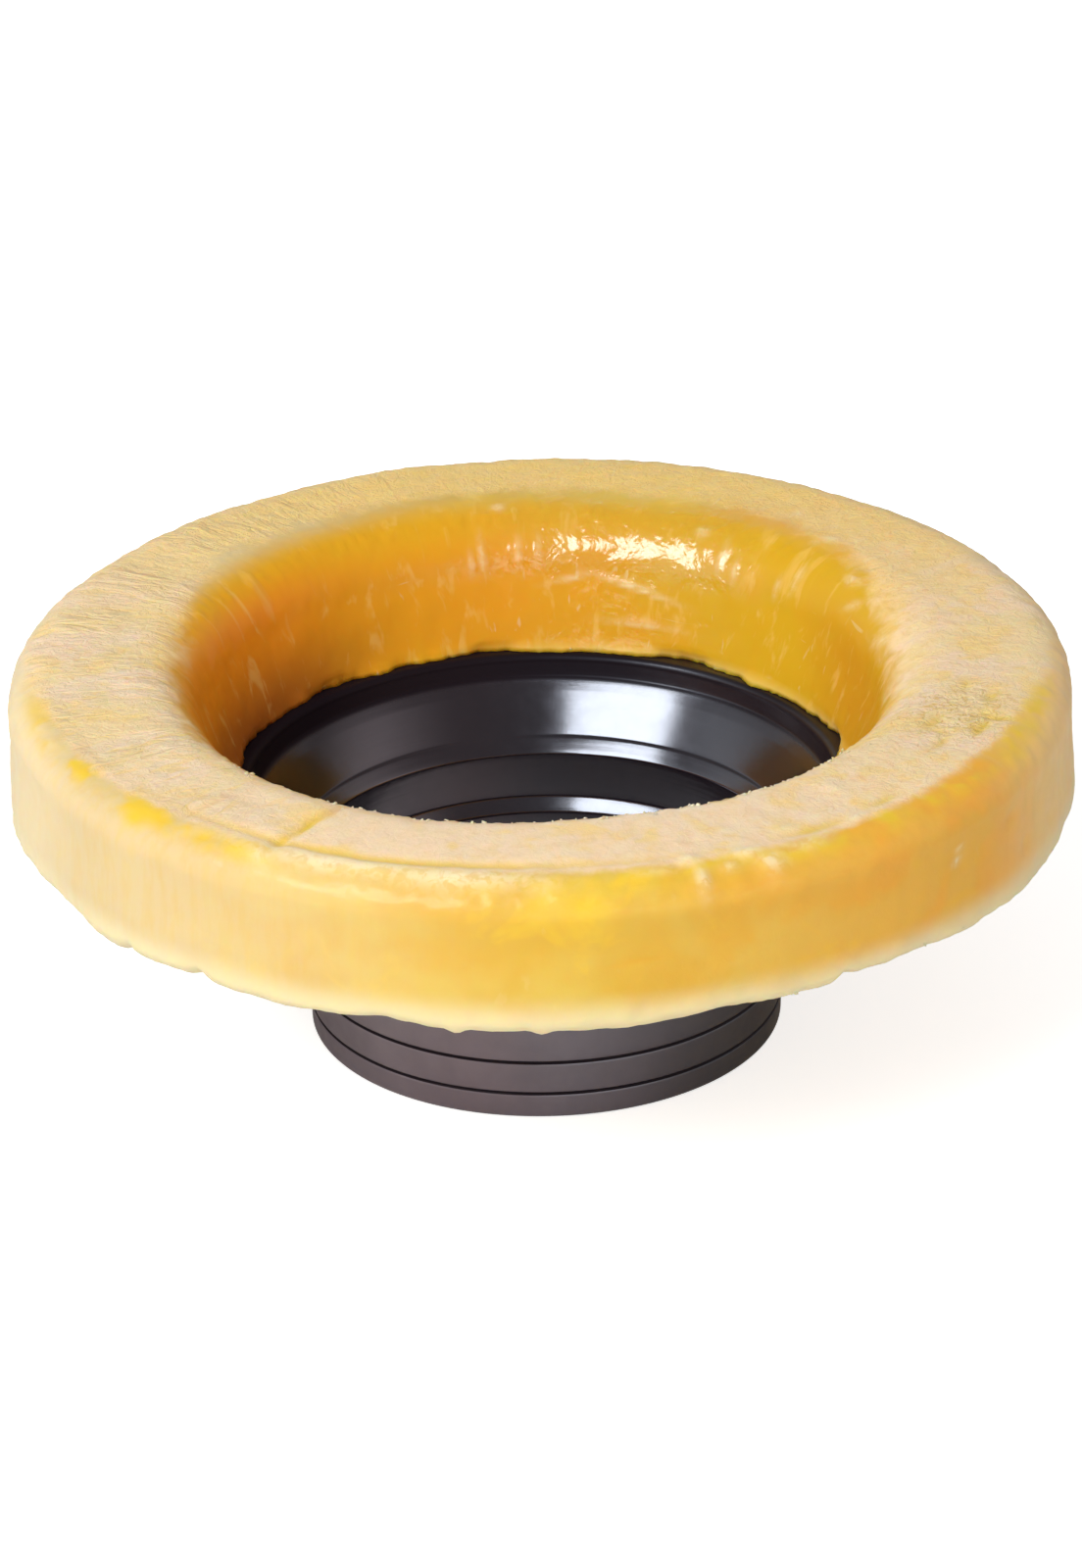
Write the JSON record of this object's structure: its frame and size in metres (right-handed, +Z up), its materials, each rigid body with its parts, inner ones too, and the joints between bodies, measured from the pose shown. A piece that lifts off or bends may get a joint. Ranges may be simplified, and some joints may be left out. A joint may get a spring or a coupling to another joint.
{
  "type": "toilet pan seal",
  "caption": "Toilet pan seal: a broad ring of amber wax with a rounded bore, gripping the flange of a black plastic horn that funnels into a short sleeve.",
  "frame": {"origin": "centre of the horn's lower rim, on the plane that the seal stands on", "axes": "+Z up the common axis of the sleeve, the funnel and the wax ring, towards the pan"},
  "size_m": [0.14, 0.14, 0.0516],
  "materials": {
    "wax": "translucent amber wax, softly waxy with small glossy glints, paler on its flat top",
    "horn_plastic": "black moulded polyethylene, satin outside and glossier in the funnel"
  },
  "bodies": {
    "root": {"wax_ring": "wax", "horn": "horn_plastic"}
  },
  "joints": []
}
